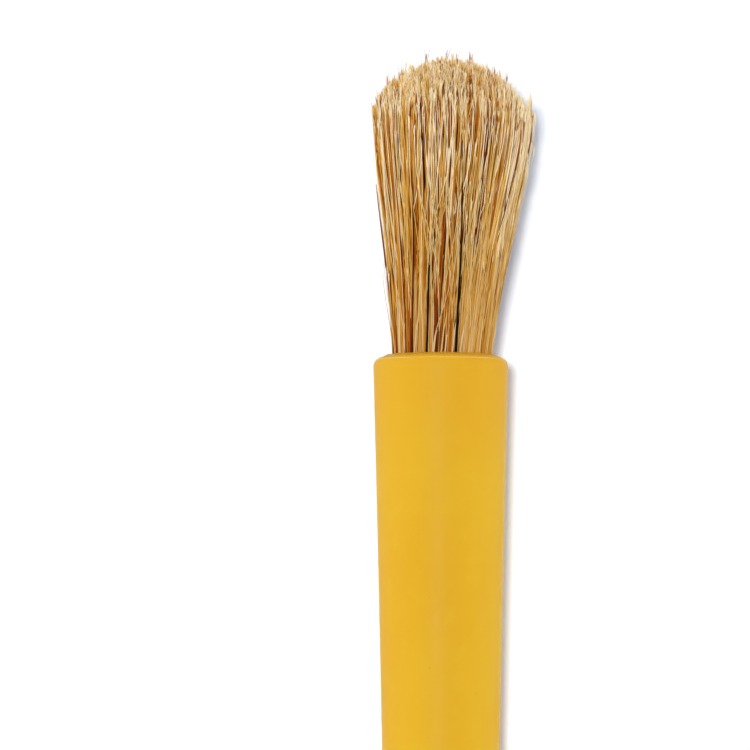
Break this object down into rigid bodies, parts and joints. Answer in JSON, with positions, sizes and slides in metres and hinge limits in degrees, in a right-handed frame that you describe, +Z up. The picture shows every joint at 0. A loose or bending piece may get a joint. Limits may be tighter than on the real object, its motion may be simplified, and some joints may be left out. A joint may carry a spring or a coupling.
{
  "type": "round bristle paint brush",
  "caption": "Short round paint brush with a thick tapered hollow plastic handle and a flared, domed knot of natural bristle set in its mouth.",
  "frame": {"origin": "on the table under the centre of the brush's bounding box, as it lies on its side", "axes": "+Y along the brush towards the bristle tips (it rises 0.93 degrees, because the handle lies on its tapered side), +Z up from the table, +X across the brush, the side that the tips lean to"},
  "size_m": [0.0208, 0.1894, 0.0211],
  "materials": {
    "handle_plastic": "satin",
    "stopper_plastic": "satin",
    "resin": "gloss",
    "thread": "matte",
    "bristle": "satin"
  },
  "bodies": {
    "root": {"handle_shell": "handle_plastic", "socket_stopper": "stopper_plastic", "resin_puck": "resin", "binding_thread": "thread", "bristle_core": "bristle", "bristle_inner_01": "bristle", "bristle_inner_02": "bristle", "bristle_inner_03": "bristle", "bristle_inner_04": "bristle", "bristle_inner_05": "bristle", "bristle_inner_06": "bristle", "bristle_outer_01": "bristle", "bristle_outer_02": "bristle", "bristle_outer_03": "bristle", "bristle_outer_04": "bristle", "bristle_outer_05": "bristle", "bristle_outer_06": "bristle", "bristle_outer_07": "bristle", "bristle_outer_08": "bristle", "bristle_outer_09": "bristle", "bristle_outer_10": "bristle", "bristle_outer_11": "bristle", "bristle_outer_12": "bristle"}
  },
  "joints": []
}
